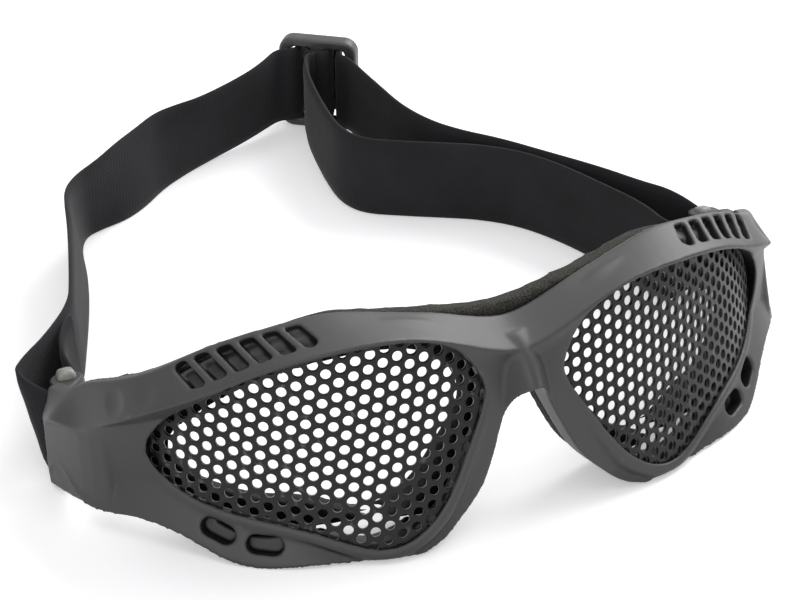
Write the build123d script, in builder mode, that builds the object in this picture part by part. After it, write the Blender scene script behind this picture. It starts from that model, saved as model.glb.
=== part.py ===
from build123d import *
import math
import os

os.makedirs("parts", exist_ok=True)

# Safety goggles with bent, perforated steel lenses in one wraparound moulded frame.
# The goggles stand on a table on the frame's lower edge and the strap's edge.
# +Z is up, the wearer looks along -Y, and the origin is the middle of the footprint.

# Main sizes of the frame
frame_width = 167.0
frame_height = 49.0
wrap_depth = 50.0
brow_depth = 10.0
frame_wall = 2.6
frame_lean = 15.0
front_setback = 76.6
datum_height = 44.4
overrun = 4.0

# Perforated lenses
hole_pitch = 3.0
hole_size = 2.0
sheet_thickness = 0.8
lens_radius = 73.0
lens_centre_offset = 12.5
lens_setback = 1.1
lens_mid_drop = 22.0
lens_lean = 4.5
lens_seat = 1.1
lens_lip = 1.1
rim_ring = 3.0

# Foam face liner
foam_thickness = 5.0
foam_margin = 0.6
foam_gap = 0.6
foam_reach = 38.0
foam_eye_inset = 3.0
foam_eye_in = 1.8
foam_eye_down = 1.5
foam_nose_margin = 0.1

# Vents and slots
vent_length = 6.2
vent_width = 2.9
vent_slant = 28.0
vent_depth = 3.0
vent_corner = 0.35
vent_end_radius = 1.2
slot_length = 7.2
slot_width = 3.6
slot_depth = 3.6
dimple_radius = 9.0
dimple_depth = 0.45

# How far the liner's top stands above or below the frame's rear edge at each section
foam_rises = [2.1, 0.6, -0.5, -1.0, -1.5, -2.0, -2.0, -1.5, -1.0, -1.0]

# Strap pins
pin_radius = 1.3
pin_head_width = 3.4
pin_head_height = 2.6
pin_clearance = 0.05
lug_wall = 2.1
lug_thickness = 2.2
lug_inset = 0.4
lug_reach = 3.0
pin_x = 75.0
pin_y = 53.2
pin_top = -12.0
loop_height = 13.6

# Elastic strap and its slider
strap_width = 20.5
strap_thickness = 1.5
strap_reach = 162.0
slider_length = 20.5
slider_height = 25.4
slider_thickness = 4.2
slider_rail = 2.1
slider_end_rail = 3.0
slider_bar = 3.4
slider_corner = 2.0
slider_turn = -37.6
slider_clearance = 0.5
thread_bend = 1.1
slider_share = (0.331, 0.967)
bend_share = 0.45

half_width = frame_width / 2

# The frame as worn: x to the left lens, y back towards the head, z up the face.
lean = math.radians(frame_lean)
wear = Plane(
    origin=(0, -front_setback, datum_height),
    x_dir=(1, 0, 0),
    z_dir=(0, math.sin(lean), math.cos(lean)),
)


def worn(place):
    """A plane given in the frame's own directions, as it lies on the table."""
    return Plane(wear.location * place.location)


# Brow line in plan, as shares of the half width and of the wrap depth
brow_plan_shares = [
    (0, -0.018),
    (0.144, -0.03),
    (0.287, -0.033),
    (0.431, -0.012),
    (0.575, 0.072),
    (0.719, 0.222),
    (0.81, 0.335),
    (0.898, 0.55),
    (0.95, 0.75),
    (0.981, 0.99),
]

# Each section through the frame, from the bridge to the wing's end. A pair is the set-in
# from the brow line as a share of the brow depth, and the height as a share of the
# frame's height: top rear edge, brow edge, eye edge above, eye edge below, lower edge.
section_shares = [
    ((0.69, -0.092), -0.196, (0.15, -0.257), (0.27, -0.845), (0.18, -0.931)),
    ((0.72, -0.024), -0.116, (0.08, -0.153), (0.2, -0.845), (0.17, -0.931)),
    ((0.9, 0.031), -0.028, (0.09, -0.052), (0.42, -0.833), (0.18, -0.931)),
    ((0.96, 0.073), -0.009, (0.12, -0.033), (0.68, -0.851), (0.34, -0.915)),
    ((0.84, 0.064), -0.04, (0.1, -0.067), (0.55, -0.753), (0.27, -0.894)),
    ((0.62, 0.008), -0.135, (0.2, -0.171), (0.5, -0.667), (0.21, -0.857)),
    ((0.51, -0.053), -0.187, (0.34, -0.245), (0.58, -0.576), (0.3, -0.755)),
    ((0.36, -0.122), -0.282, (0.12, -0.293), (0.26, -0.536), (0.06, -0.673)),
    ((0.31, -0.174), -0.337, (0.09, -0.352), (0.08, -0.536), (-0.13, -0.628)),
    ((0.24, -0.238), -0.392, (0.08, -0.4), (-0.03, -0.551), (-0.1, -0.6)),
]

# How far the rear of each section stands behind the brow line, below and above the roof
rear_shares = [0.8, 0.8, 0.98, 1.08, 1.02, 0.98, 1.0, 0.66, 0.44, 0.34]
roof_rear_shares = [0.1, 0.1, 0.1, 0.1, 0.1, 0.14, 0.25, 0.36, 0.38, 0.38]


def section_plane(index, side):
    """The plane square to the brow line at one section, with x pointing inwards."""
    x, y = plan_points[index]
    along = plan_tangents[index]
    inward = Vector(-along.Y, along.X, 0)
    if side > 0:
        return worn(Plane(origin=(x, y, 0), x_dir=inward, z_dir=along))
    inward = Vector(-inward.X, inward.Y, 0)
    along = Vector(along.X, -along.Y, 0)
    return worn(Plane(origin=(-x, y, 0), x_dir=inward, z_dir=along))


def offset_corner(first, corner, last, amount):
    """The corner of the two lines that lie the given amount to the left of both legs."""
    one = (Vector(*corner) - Vector(*first)).normalized()
    two = (Vector(*last) - Vector(*corner)).normalized()
    side_one = Vector(-one.Y, one.X, 0)
    side_two = Vector(-two.Y, two.X, 0)
    bisector = (side_one + side_two).normalized()
    reach = amount / bisector.dot(side_one)
    moved = Vector(*corner) + bisector * reach
    return (moved.X, moved.Y)


plan_points = [(x * half_width, y * wrap_depth) for x, y in brow_plan_shares]
plan_curve = Spline(*plan_points, tangents=((1, 0), (0.2, 1)))
plan_tangents = [plan_curve.tangent_at(Vector(*point)) for point in plan_points]
count = len(plan_points)
stations = [(i, -1) for i in range(count - 1, 0, -1)] + [(i, 1) for i in range(count)]


def outer_section(index):
    """Points of the solid section: roof, brow edge, face, lower edge and rear."""
    roof, brow, upper, lower, foot = section_shares[index]
    top = (roof[0] * brow_depth, roof[1] * frame_height)
    edge = (0, brow * frame_height)
    eye_top = (upper[0] * brow_depth, upper[1] * frame_height)
    eye_foot = (lower[0] * brow_depth, lower[1] * frame_height)
    base = (foot[0] * brow_depth, foot[1] * frame_height)
    heel_x = rear_shares[index] * brow_depth
    heel = (heel_x, base[1] + (heel_x - base[0]) * math.tan(lean) * 1.1)
    crest = (top[0] + roof_rear_shares[index] * brow_depth, top[1])
    return crest, top, edge, eye_top, eye_foot, base, heel


def inner_section(index):
    """Points of the hollow behind the wall, open to the rear."""
    crest, top, edge, eye_top, eye_foot, base, heel = outer_section(index)
    roof_in = offset_corner(top, edge, (eye_foot[0], eye_foot[1]), frame_wall)
    pitch = (heel[1] - base[1]) / (heel[0] - base[0])
    corner = (eye_foot[0], base[1] + pitch * (eye_foot[0] - base[0]))
    foot_in = offset_corner(eye_top, corner, heel, frame_wall)
    reach = max(crest[0], heel[0]) + overrun
    rise = (top[1] - edge[1]) / (top[0] - edge[0])
    exit_x = min(reach - frame_wall / 2, roof_in[0] + (top[1] + overrun - roof_in[1]) / rise)
    roof_out = (exit_x, roof_in[1] + rise * (exit_x - roof_in[0]))
    foot_out = (reach, foot_in[1] + pitch * (reach - foot_in[0]))
    return (reach, roof_out[1]), roof_out, roof_in, foot_in, foot_out


# Outer form of the frame, solid from the brow to the rear edges
with BuildPart() as envelope:
    for index, side in stations:
        with BuildSketch(section_plane(index, side)):
            with BuildLine():
                points = outer_section(index)
                Polyline(*points, close=True)
            make_face()
    loft()

# The hollow that leaves the frame an even wall
with BuildPart() as hollow:
    for index, side in stations:
        with BuildSketch(section_plane(index, side)):
            with BuildLine():
                Polyline(*inner_section(index), close=True)
            make_face()
    loft()

# Outline of one eye opening, seen from the front
eye_shares = [
    (0.106, -0.294),
    (0.194, -0.098),
    (0.381, -0.031),
    (0.575, -0.061),
    (0.729, -0.18),
    (0.823, -0.392),
    (0.74, -0.606),
    (0.539, -0.753),
    (0.381, -0.869),
    (0.259, -0.78),
    (0.151, -0.511),
]
# Outline of the nose arch, from its crown to the frame's lower edge
nose_shares = [
    (0, -0.345),
    (0.027, -0.362),
    (0.054, -0.432),
    (0.078, -0.53),
    (0.103, -0.63),
    (0.133, -0.72),
    (0.18, -0.808),
    (0.234, -0.888),
    (0.298, -0.928),
    (0.39, -0.95),
]

eye_points = [(x * half_width, z * frame_height) for x, z in eye_shares]
nose_points = [(x * half_width, z * frame_height) for x, z in nose_shares]
front_back = worn(Plane.XZ.offset(-wrap_depth))
through = wrap_depth + overrun + overrun

# A ridge stands out over the nose: height, half width and reach of its sections
ridge_shares = [
    (-0.14, 0.05, -0.2),
    (-0.2, 0.07, 0.12),
    (-0.27, 0.085, 0.32),
    (-0.345, 0.09, 0.46),
    (-0.43, 0.092, 0.52),
    (-0.6, 0.092, 0.5),
]
ridge_root_share = 0.26
ridge_flank_share = 0.48
with BuildPart() as nose_ridge:
    for rise, wide, out in ridge_shares:
        side = wide * half_width
        root = ridge_root_share * brow_depth
        flank = root - (root + out * brow_depth) * ridge_flank_share
        with BuildSketch(worn(Plane.XY.offset(rise * frame_height))):
            with BuildLine():
                Spline(
                    (-side, root),
                    (-side / 2, flank),
                    (0, -out * brow_depth),
                    (side / 2, flank),
                    (side, root),
                )
                Line((side, root), (-side, root))
            make_face()
    loft()


def grown(points, closed, grow):
    """The points of a smooth outline, each moved square to it by the given amount."""
    curve = Spline(*points, periodic=closed, mode=Mode.PRIVATE)
    moved = []
    for x, z in points:
        along = curve.tangent_at(Vector(x, z))
        moved.append((x - along.Y * grow, z + along.X * grow))
    return moved


def eye_outline(grow, shift=(0, 0)):
    """One eye opening's outline, grown and moved by the given amounts."""
    points = [(x + shift[0], z + shift[1]) for x, z in grown(eye_points, True, grow)]
    with BuildSketch(front_back) as outline:
        with BuildLine():
            Spline(*points, periodic=True)
        make_face()
    return outline.sketch


# Each lens is a flat perforated sheet bent round one leaning axis behind the eye
lens_axis_plane = worn(
    Plane(
        origin=(lens_centre_offset, lens_setback + lens_radius, -lens_mid_drop),
        x_dir=(0, -1, 0),
        z_dir=(0, 0, 1),
    ).rotated((0, -lens_lean, 0))
)


def bent_sheet(front, back):
    """The band between two offsets from the lens's front face."""
    with BuildPart() as band:
        with BuildSketch(lens_axis_plane):
            Circle(lens_radius + front)
            Circle(lens_radius + back, mode=Mode.SUBTRACT)
        extrude(amount=frame_height, both=True)
    return band.part


def hole_places():
    """Where the holes go: staggered columns round the sheet, square to its front face."""
    column_pitch = hole_pitch * math.sqrt(3) / 2
    spread = math.ceil(half_width / column_pitch)
    rows = math.ceil(frame_height / hole_pitch)
    field = eye_outline(0).face()
    places = []
    for column in range(-spread, spread + 1):
        turn = math.degrees(column * column_pitch / lens_radius)
        station = lens_axis_plane.rotated((0, 0, turn))
        for row in range(-rows, rows + 1):
            rise = (row + 0.5 * (column % 2)) * hole_pitch
            spot = station.from_local_coords((lens_radius, 0, rise))
            local = wear.to_local_coords(spot)
            seen = wear.from_local_coords((local.X, wrap_depth, local.Z))
            if station.x_dir.dot(wear.y_dir) < 0 and field.is_inside(seen):
                places.append(Plane(origin=spot, x_dir=station.z_dir, z_dir=station.x_dir))
    return places


with BuildPart() as lens_blank:
    extrude(eye_outline(lens_seat), amount=through, dir=-wear.y_dir)
    add(bent_sheet(0, -sheet_thickness), mode=Mode.INTERSECT)

with BuildPart() as left_mesh_lens:
    add(lens_blank.part)
    with Locations(*hole_places()):
        hole_side = hole_size * math.sqrt(math.pi) / 2
        Box(hole_side, hole_side, 4 * sheet_thickness, rotation=(0, 0, 45), mode=Mode.SUBTRACT)
with BuildPart() as right_mesh_lens:
    mirror(left_mesh_lens.part, about=Plane.YZ)
left_mesh_lens.part.label = "left_mesh_lens"
export_step(left_mesh_lens.part, "parts/left_mesh_lens.step")
right_mesh_lens.part.label = "right_mesh_lens"
export_step(right_mesh_lens.part, "parts/right_mesh_lens.step")


def nose_outline(grow):
    """The nose arch, open below the frame, grown by the given amount."""
    left = [(-x, z) for x, z in reversed(nose_points)]
    points = grown(left + nose_points[1:], False, grow)
    with BuildSketch(front_back) as outline:
        with BuildLine():
            arch = Spline(*points)
            deep = -frame_height - overrun
            Polyline(arch @ 1, (points[-1][0], deep), (points[0][0], deep), arch @ 0)
        make_face()
    return outline.sketch


def section_point(index, place):
    """A point of one section, in space."""
    return section_plane(index, 1).from_local_coords((place[0], place[1], 0))


def surface_plane(upper, lower, share, height_share):
    """The plane that lies on a face between two lines, at a share of both."""
    above = upper @ share
    below = lower @ share
    along = (upper % share + lower % share).normalized()
    return Plane(
        origin=below + (above - below) * height_share,
        x_dir=along,
        z_dir=along.cross(above - below),
    )


# Lines along the wing side of the frame that the vents, slots and dimples follow
roof_stations = range(3, 9)
roof_line = Spline(*[section_point(i, outer_section(i)[1]) for i in roof_stations])
brow_line = Spline(*[section_point(i, outer_section(i)[2]) for i in roof_stations])
rim_line = Spline(*[section_point(i, outer_section(i)[4]) for i in roof_stations])
foot_line = Spline(*[section_point(i, outer_section(i)[5]) for i in roof_stations])

vent_count = 6
vent_shares = (0.107, 0.495)
slot_shares = (0.328, 0.485)
dimple_shares = (0.65, 0.79)

slot_height_share = 0.53

# Everything that is cut from one side of the housing
with BuildPart() as side_cuts:
    extrude(eye_outline(0), amount=through, dir=-wear.y_dir)
    add(lens_blank.part)
    for number in range(vent_count):
        share = vent_shares[0] + (vent_shares[1] - vent_shares[0]) * number / (vent_count - 1)
        with BuildSketch(surface_plane(roof_line, brow_line, share, 0.6).offset(-vent_depth)):
            lean_over = vent_length / 2 * math.tan(math.radians(vent_slant))
            half = vent_width / 2
            with BuildLine():
                Polyline(
                    (-half - lean_over, -vent_length / 2),
                    (half - lean_over, -vent_length / 2),
                    (half + lean_over, vent_length / 2),
                    (-half + lean_over, vent_length / 2),
                    close=True,
                )
            make_face()
            # The first and the last vent have a round outer side
            if number == 0:
                fillet(vertices().sort_by(Axis.X)[:2], radius=vent_end_radius)
            elif number == vent_count - 1:
                fillet(vertices().sort_by(Axis.X)[-2:], radius=vent_end_radius)
            else:
                fillet(vertices(), radius=vent_corner)
        extrude(amount=vent_depth + overrun)
    for share in slot_shares:
        slot_plane = surface_plane(rim_line, foot_line, share, slot_height_share)
        with BuildSketch(slot_plane.offset(overrun)):
            SlotOverall(slot_length, slot_width)
        extrude(amount=-overrun - slot_depth)
    for share in dimple_shares:
        dimple_plane = surface_plane(roof_line, brow_line, share, 0.5)
        with Locations(dimple_plane.offset(dimple_radius - dimple_depth)):
            Sphere(dimple_radius)

# The rims round the eyes and the nose stay solid behind the face
with BuildPart() as rims:
    extrude(eye_outline(rim_ring), amount=through, dir=-wear.y_dir)
    add(bent_sheet(brow_depth, -sheet_thickness - lens_lip), mode=Mode.INTERSECT)
    mirror(about=Plane.YZ)
    extrude(nose_outline(frame_wall), amount=through, dir=-wear.y_dir)

# Strap lugs behind each wing, one above the other, and the axis of the pin they hold
pin_plan = (pin_x, pin_y)
lug_tops = (pin_top, pin_top - lug_thickness - loop_height)


def lug_root(index):
    """Where a lug joins the wing's wall, in the frame's plan."""
    x, y = plan_points[-1]
    along = plan_tangents[-1]
    inset = (section_shares[-1][0][0] * brow_depth, section_shares[-1][4][0] * brow_depth)[index]
    inset += frame_wall / 2 + lug_inset
    return (x - along.Y * inset - along.X * lug_reach, y + along.X * inset - along.Y * lug_reach)


with BuildPart() as lugs:
    for index, top in enumerate(lug_tops):
        with BuildSketch(worn(Plane.XY.offset(top - lug_thickness))):
            with Locations(pin_plan):
                Circle(pin_radius + lug_wall)
            with Locations(lug_root(index)):
                Circle(frame_wall / 2)
            make_hull()
        extrude(amount=lug_thickness)
    with BuildSketch(worn(Plane.XY.offset(pin_top - frame_height))):
        with Locations(pin_plan):
            Circle(pin_radius + pin_clearance)
    extrude(amount=2 * frame_height, mode=Mode.SUBTRACT)

with BuildPart() as front_frame:
    add(envelope.part)
    add(hollow.part - rims.part, mode=Mode.SUBTRACT)
    add(nose_ridge.part)
    add(side_cuts.part, mode=Mode.SUBTRACT)
    add(mirror(side_cuts.part, about=Plane.YZ, mode=Mode.PRIVATE), mode=Mode.SUBTRACT)
    extrude(nose_outline(0), amount=through, dir=-wear.y_dir, mode=Mode.SUBTRACT)
    add(lugs.part)
    add(mirror(lugs.part, about=Plane.YZ, mode=Mode.PRIVATE))
front_frame.part.label = "front_frame"
export_step(front_frame.part, "parts/front_frame.step")

# A foam liner closes the gap between the frame and the face
with BuildPart() as foam_liner:
    for index, side in stations:
        crest, top, edge, eye_top, eye_foot, base, heel = outer_section(index)
        upper = top[1] + foam_rises[index]
        step = min(upper, top[1]) - frame_wall / 2
        lower = base[1] + (heel[0] + foam_thickness - base[0]) * math.tan(lean) + foam_margin
        with BuildSketch(section_plane(index, side)):
            with BuildLine():
                Polyline(
                    (heel[0] - frame_wall / 2, lower),
                    (heel[0] + foam_thickness, lower),
                    (crest[0] + foam_thickness, upper),
                    (crest[0] + foam_gap, upper),
                    (crest[0] + foam_gap, step),
                    (crest[0] - frame_wall / 2, step),
                    close=True,
                )
            make_face()
    loft()
    add(envelope.part, mode=Mode.SUBTRACT)
    foam_eye = eye_outline(-foam_eye_inset, (-foam_eye_in, -foam_eye_down))
    extrude(foam_eye, amount=through, dir=-wear.y_dir, mode=Mode.SUBTRACT)
    extrude(
        mirror(foam_eye, about=Plane.YZ, mode=Mode.PRIVATE),
        amount=through,
        dir=-wear.y_dir,
        mode=Mode.SUBTRACT,
    )
    extrude(nose_outline(foam_nose_margin), amount=through, dir=-wear.y_dir, mode=Mode.SUBTRACT)
    with BuildSketch(worn(Plane.XY.offset(-2 * frame_height))):
        with Locations((0, foam_reach + wrap_depth)):
            Rectangle(2 * frame_width, 2 * wrap_depth)
    extrude(amount=4 * frame_height, mode=Mode.SUBTRACT)
foam_liner.part.label = "foam_liner"
export_step(foam_liner.part, "parts/foam_liner.step")

# A headed pin drops through both lugs and the sewn eye of the strap
with BuildPart() as left_strap_pin:
    with BuildSketch(worn(Plane.XY.offset(lug_tops[1] - lug_thickness))):
        with Locations(pin_plan):
            Circle(pin_radius)
    extrude(amount=2 * lug_thickness + loop_height)
    with BuildSketch(worn(Plane.XY.offset(pin_top))):
        with Locations(pin_plan):
            RectangleRounded(pin_head_width, pin_head_width, pin_radius / 2)
    extrude(amount=pin_head_height)
with BuildPart() as right_strap_pin:
    mirror(left_strap_pin.part, about=Plane.YZ)
for name, pin in (("left_strap_pin", left_strap_pin), ("right_strap_pin", right_strap_pin)):
    pin.part.label = name
    export_step(pin.part, f"parts/{name}.step")

# The slider stands on its edge in the strap: an outer ring and a bar between two slots
slider_spot = (slider_share[0] * half_width, slider_share[1] * strap_reach - front_setback)
slider_plane = Plane(
    origin=(*slider_spot, slider_height / 2),
    x_dir=Vector(1, 0, 0).rotate(Axis.Z, slider_turn),
    z_dir=Vector(0, -1, 0).rotate(Axis.Z, slider_turn),
)
slot_room = (slider_length - 2 * slider_end_rail - slider_bar) / 2
with BuildPart() as strap_slider:
    with BuildSketch(slider_plane):
        RectangleRounded(slider_length, slider_height, slider_corner)
        with Locations((-(slider_bar + slot_room) / 2, 0), ((slider_bar + slot_room) / 2, 0)):
            RectangleRounded(
                slot_room,
                slider_height - 2 * slider_rail,
                slider_corner / 2,
                mode=Mode.SUBTRACT,
            )
    extrude(amount=slider_thickness / 2, both=True)
strap_slider.part.label = "strap_slider"
export_step(strap_slider.part, "parts/strap_slider.step")


def strap_spot(share):
    return Vector(share[0] * half_width, share[1] * strap_reach - front_setback)


def slider_point(along, out):
    """A point of the strap's route given from the slider's centre, in plan."""
    return Vector(*slider_spot) + slider_plane.x_dir * along + slider_plane.z_dir * out


thread_out = slider_thickness / 2 + strap_thickness / 2 + slider_clearance
bar_out = thread_out + strap_thickness + slider_clearance
slot_outer = slider_bar / 2 + slot_room - strap_thickness / 2 - slider_clearance
slot_inner = slot_outer - strap_thickness
thread = [
    slider_point(-slot_outer, thread_out),
    slider_point(-slot_inner, -bar_out),
    slider_point(slot_inner, -bar_out),
    slider_point(slot_outer, thread_out),
]

# Route of the strap from the left pin to the slider, then the layer that goes on from the
# slider to the right pin, and the layer that is sewn back to the slider's bar
left_run_shares = [
    (-0.992, 0.304),
    (-0.902, 0.372),
    (-0.787, 0.443),
    (-0.719, 0.556),
    (-0.676, 0.63),
    (-0.622, 0.713),
    (-0.586, 0.769),
    (-0.46, 0.804),
    (-0.341, 0.844),
    (-0.198, 0.894),
    (-0.047, 0.931),
    (0.108, 0.967),
]
outer_layer_shares = [
    (0.388, 0.869),
    (0.399, 0.811),
    (0.406, 0.748),
    (0.435, 0.691),
    (0.496, 0.639),
    (0.582, 0.587),
    (0.686, 0.5),
    (0.794, 0.407),
    (0.85, 0.34),
]
inner_layer_shares = [
    (0.237, 0.848),
    (0.205, 0.741),
    (0.198, 0.709),
    (0.23, 0.676),
    (0.305, 0.641),
    (0.453, 0.598),
    (0.557, 0.544),
    (0.618, 0.478),
    (0.69, 0.4),
    (0.848, 0.338),
]


def bend_radii(points):
    """A bend at each inner point, as large as its two runs allow."""
    radii = []
    for before, here, after in zip(points, points[1:], points[2:]):
        run = min((here - before).length, (after - here).length)
        turn = math.radians((here - before).get_angle(after - here))
        radius = bend_share * run / math.tan(turn / 2)
        radii.append(min(radius, thread_bend) if here in thread else radius)
    return radii


left_run = [strap_spot(share) for share in left_run_shares] + thread
outer_layer = [strap_spot(share) for share in outer_layer_shares]
inner_layer = [slider_point(0, slider_thickness / 2 + slider_clearance)]
inner_layer += [strap_spot(share) for share in inner_layer_shares]
whole_run = left_run + outer_layer

# The strap climbs a little from the pins to the slider, whose lower rail is under it
lift = (slider_height - strap_width) / 2
slider_plan = Plane(origin=(*slider_spot, lift), x_dir=slider_plane.x_dir, z_dir=(0, 0, 1))
climb = math.atan(lift / (slider_spot[1] - whole_run[0].Y))
strap_plane = Plane(
    origin=(0, slider_spot[1], lift),
    x_dir=(1, 0, 0),
    z_dir=(0, -math.sin(climb), math.cos(climb)),
)

with BuildPart() as strap:
    for route in (whole_run, inner_layer):
        radii = bend_radii(route)
        with BuildSketch(strap_plane):
            with BuildLine():
                FilletPolyline(*[(spot.X, spot.Y - slider_spot[1]) for spot in route], radius=radii)
            trace(line_width=strap_thickness)
        extrude(amount=strap_width)
    # The sewn end goes round the slider's bar
    with BuildSketch(slider_plan):
        loop_side = slider_bar + 2 * slider_clearance
        loop_out = slider_thickness + 2 * slider_clearance
        Rectangle(loop_side + 2 * strap_thickness, loop_out + 2 * strap_thickness)
        Rectangle(loop_side, loop_out, mode=Mode.SUBTRACT)
    extrude(amount=strap_width)
    # A narrow sewn eye at each end goes round its pin, between the lugs
    for side, spot, reach in ((-1, whole_run[0], 1), (1, whole_run[-1], -1)):
        with BuildSketch(worn(Plane.XY.offset(pin_top - lug_thickness - loop_height))):
            near = wear.to_local_coords(Vector(spot.X, spot.Y, strap_width / 2))
            with Locations((side * pin_x, pin_y)):
                Circle(pin_radius + strap_thickness)
            with Locations((near.X, near.Y)):
                Circle(strap_thickness)
            make_hull()
            with Locations((side * pin_x, pin_y)):
                Circle(pin_radius, mode=Mode.SUBTRACT)
        extrude(amount=loop_height)
strap.part.label = "strap"
export_step(strap.part, "parts/strap.step")
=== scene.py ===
import bmesh
import bpy
import math
from mathutils import Matrix, Vector


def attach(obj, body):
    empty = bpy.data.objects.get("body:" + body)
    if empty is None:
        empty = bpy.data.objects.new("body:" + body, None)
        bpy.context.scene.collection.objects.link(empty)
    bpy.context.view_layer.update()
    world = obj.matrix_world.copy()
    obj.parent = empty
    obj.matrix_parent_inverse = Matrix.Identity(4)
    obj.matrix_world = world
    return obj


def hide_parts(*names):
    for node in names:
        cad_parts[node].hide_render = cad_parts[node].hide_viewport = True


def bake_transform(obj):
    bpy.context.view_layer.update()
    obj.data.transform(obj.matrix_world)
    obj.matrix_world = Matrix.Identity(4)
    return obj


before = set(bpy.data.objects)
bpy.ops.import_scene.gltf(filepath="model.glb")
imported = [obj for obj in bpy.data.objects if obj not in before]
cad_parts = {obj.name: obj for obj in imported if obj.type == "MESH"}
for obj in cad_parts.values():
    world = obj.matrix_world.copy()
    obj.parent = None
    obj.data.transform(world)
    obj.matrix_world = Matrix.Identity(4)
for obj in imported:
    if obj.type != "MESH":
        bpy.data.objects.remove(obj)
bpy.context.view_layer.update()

# Camera: a long lens on the wearer's right, turned and tilted to look down on the goggles.
# Its spot, turn and tilt were solved from the rows of holes in the photograph
CAMERA_SPOT = (-0.15257, -0.34174, 0.24383)
CAMERA_TURN, CAMERA_TILT = math.radians(25.77), math.radians(33.17)
camera_data = bpy.data.cameras.new("camera")
camera_data.sensor_width = 36
camera_data.lens = 87.66
camera_data.clip_start = 0.02
camera = bpy.data.objects.new("camera", camera_data)
bpy.context.scene.collection.objects.link(camera)
rightward = Vector((math.cos(CAMERA_TURN), -math.sin(CAMERA_TURN), 0))
backward = Vector((-math.sin(CAMERA_TURN) * math.cos(CAMERA_TILT),
                   -math.cos(CAMERA_TURN) * math.cos(CAMERA_TILT), math.sin(CAMERA_TILT)))
upward = backward.cross(rightward)
facing_it = Matrix((rightward, upward, backward)).transposed().to_4x4()
camera.matrix_world = Matrix.Translation(CAMERA_SPOT) @ facing_it
bpy.context.scene.camera = camera
bpy.context.scene.view_settings.view_transform = "Standard"


# Surroundings: a white studio, plain white to the camera and in reflections, and a softer
# fill for everything that it only lights
def add(tree, kind, settings=None, **inputs):
    """Adds a node, sets its own settings, then sets or links its inputs by name or place."""
    new = tree.nodes.new(kind)
    for name, value in (settings or {}).items():
        setattr(new, name, value)
    for name, value in inputs.items():
        key = int(name[1:]) if name[0] == "i" and name[1:].isdigit() else name.replace("_", " ")
        socket = new.inputs[key]
        if isinstance(value, bpy.types.NodeSocket):
            tree.links.new(value, socket)
        else:
            socket.default_value = value
    return new


def brightness(tree, unseen, seen):
    """One strength for what the camera sees, in reflections too, and another for the rest."""
    rays = add(tree, "ShaderNodeLightPath").outputs
    direct = add(tree, "ShaderNodeMath", {"operation": "MAXIMUM"}, i0=rays["Is Camera Ray"],
                 i1=rays["Is Transmission Ray"])
    either = add(tree, "ShaderNodeMath", {"operation": "MAXIMUM"}, i0=direct.outputs[0],
                 i1=rays["Is Glossy Ray"])
    return add(tree, "ShaderNodeMapRange", Value=either.outputs[0], To_Min=unseen,
               To_Max=seen).outputs[0]


world = bpy.data.worlds.new("surroundings")
bpy.context.scene.world = world
world.use_nodes = True
sky = world.node_tree
sky.nodes.clear()
air = add(sky, "ShaderNodeBackground", Color=(1, 1, 1, 1), Strength=brightness(sky, 0.55, 1.0))
add(sky, "ShaderNodeOutputWorld", Surface=air.outputs[0])


# Table: a matt white board, far wider than the view. A little glow of its own keeps it white
# to the camera, and it takes a faint shadow
def linear(text):
    """An sRGB colour written as six hex digits, as linear values."""
    values = []
    for start in (0, 2, 4):
        share = int(text[start:start + 2], 16) / 255
        values.append(share / 12.92 if share <= 0.04045 else ((share + 0.055) / 1.055) ** 2.4)
    return (*values, 1.0)


def surface(name):
    """A new material with its shader and output, ready for its own nodes."""
    made = bpy.data.materials.new(name)
    made.use_nodes = True
    tree = made.node_tree
    tree.nodes.clear()
    shader = add(tree, "ShaderNodeBsdfPrincipled")
    add(tree, "ShaderNodeOutputMaterial", Surface=shader.outputs[0])
    return made, tree, shader


def mesh_object(name, vertices, faces, material=None, smooth=True):
    """A mesh object at the origin, linked to the scene."""
    mesh = bpy.data.meshes.new(name)
    mesh.from_pydata([tuple(v) for v in vertices], [], faces)
    mesh.update()
    mesh.polygons.foreach_set("use_smooth", [smooth] * len(mesh.polygons))
    made = bpy.data.objects.new(name, mesh)
    bpy.context.scene.collection.objects.link(made)
    if material is not None:
        mesh.materials.append(material)
    return made


TABLE_REACH = 3.0
board_white, tree, shader = surface("table_white")
shader.inputs["Base Color"].default_value = linear("efeff1")
shader.inputs["Roughness"].default_value = 0.9
shader.inputs["Specular IOR Level"].default_value = 0.1
glow = add(tree, "ShaderNodeEmission", Color=(1, 1, 1, 1), Strength=brightness(tree, 0.0, 0.3))
both = add(tree, "ShaderNodeAddShader", i0=shader.outputs[0], i1=glow.outputs[0])
tree.links.new(both.outputs[0], tree.nodes["Material Output"].inputs["Surface"])
board_corners = [(x * TABLE_REACH, y * TABLE_REACH, 0) for x, y in ((-1, -1), (1, -1), (1, 1), (-1, 1))]
table = mesh_object("table_top", board_corners, [(0, 1, 2, 3)], board_white, smooth=False)

# Lamps: three square studio boxes that look at the goggles, the strongest above and behind
# on the picture's right
LAMP_AIM = Vector((0, 0, 0.02))
for name, spot, size, watts in (
    ("key_light", (0.80, 0.3, 0.75), 0.8, 12.0),
    ("top_light", (-0.1, 0.1, 1.2), 0.9, 3.2),
    ("front_light", (-0.7, -1.0, 0.7), 0.8, 4.0),
):
    lamp_data = bpy.data.lights.new(name, "AREA")
    lamp_data.shape = "SQUARE"
    lamp_data.size = size
    lamp_data.energy = watts
    lamp = bpy.data.objects.new(name, lamp_data)
    bpy.context.scene.collection.objects.link(lamp)
    lamp.location = spot
    lamp.rotation_euler = (LAMP_AIM - Vector(spot)).to_track_quat("-Z", "Y").to_euler()

# Front frame: one injection-moulded part of black thermoplastic that carries both lenses. As
# worn it stands upright and here it leans back on the table
SETBACK, DATUM, LEAN = 0.0766, 0.0444, math.radians(15)


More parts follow.
